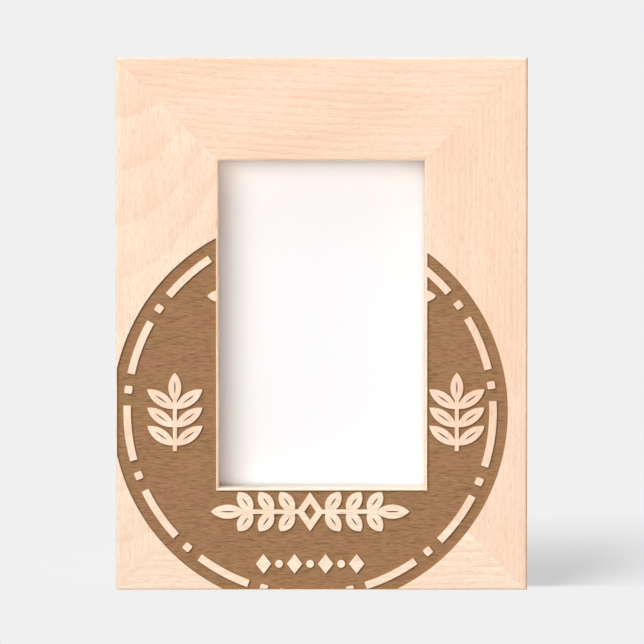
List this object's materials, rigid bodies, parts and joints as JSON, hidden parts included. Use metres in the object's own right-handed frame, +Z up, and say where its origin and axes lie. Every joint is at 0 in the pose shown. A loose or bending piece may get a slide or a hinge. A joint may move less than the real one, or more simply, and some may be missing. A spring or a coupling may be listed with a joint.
{
  "type": "engraved photo frame",
  "caption": "Mitred beech picture frame with a laser-engraved round badge, white insert, turn-button back, easel leg and wall hangers.",
  "frame": {"origin": "middle of the space that the leaning frame takes up, at the height of the table it stands on", "axes": "+Z up; -Y towards the viewer, whom the engraved face looks at; +X to the viewer's right. The frame leans back 14 degrees."},
  "size_m": [0.1778, 0.0896, 0.2278],
  "materials": {
    "beech": "sanded bare beech, laser-burnt brown in the engraving",
    "clear_glass": "clear float glass",
    "insert_paper": "smooth matt white paper",
    "grey_card": "plain grey-brown card",
    "black_board": "fibreboard faced with matt black paper",
    "nickel_steel": "stamped steel, nickel plated, satin",
    "zinc_steel": "bright zinc plated steel",
    "brassed_steel": "stamped steel, brass plated",
    "black_ribbon": "woven black ribbon",
    "felt": "dense pressed felt"
  },
  "bodies": {
    "frame": {"top_rail": "beech", "bottom_rail": "beech", "left_stile": "beech", "right_stile": "beech", "corner_v_nails": "zinc_steel", "glass_pane": "clear_glass", "photo_print": "insert_paper", "filler_card": "grey_card", "back_board": "black_board", "turn_button_screws": "zinc_steel", "hinge_board_leaf": "brassed_steel", "hinge_pin": "zinc_steel", "hinge_board_rivets": "zinc_steel", "stay_ribbon": "black_ribbon", "board_staple": "zinc_steel", "sawtooth_hanger_top": "brassed_steel", "sawtooth_hanger_side": "brassed_steel", "hanger_nails": "brassed_steel", "wall_pads": "felt"},
    "leg": {"easel_leg": "black_board", "hinge_leg_leaf": "brassed_steel", "hinge_leg_rivets": "zinc_steel", "leg_staple": "zinc_steel"},
    "turn_button_left_lower": {"turn_button_left_lower": "nickel_steel"},
    "turn_button_left_upper": {"turn_button_left_upper": "nickel_steel"},
    "turn_button_right_lower": {"turn_button_right_lower": "nickel_steel"},
    "turn_button_right_upper": {"turn_button_right_upper": "nickel_steel"}
  },
  "joints": [
    {"name": "leg_fold", "type": "hinge", "parent": "frame", "child": "leg", "pos_m": [0, 0.01244, 0.14713], "axis": [1, 0, 0], "range_deg": [-25, 0], "deforming": ["stay_ribbon"]},
    {"name": "button_left_lower_turn", "type": "hinge", "parent": "frame", "child": "turn_button_left_lower", "pos_m": [-0.0593, -0.01013, 0.06299], "axis": [0, 0.9703, -0.2419], "continuous": true},
    {"name": "button_left_upper_turn", "type": "hinge", "parent": "frame", "child": "turn_button_left_upper", "pos_m": [-0.0593, 0.01406, 0.16002], "axis": [0, 0.9703, -0.2419], "continuous": true},
    {"name": "button_right_lower_turn", "type": "hinge", "parent": "frame", "child": "turn_button_right_lower", "pos_m": [0.0593, -0.01013, 0.06299], "axis": [0, 0.9703, -0.2419], "continuous": true},
    {"name": "button_right_upper_turn", "type": "hinge", "parent": "frame", "child": "turn_button_right_upper", "pos_m": [0.0593, 0.01406, 0.16002], "axis": [0, 0.9703, -0.2419], "continuous": true}
  ]
}
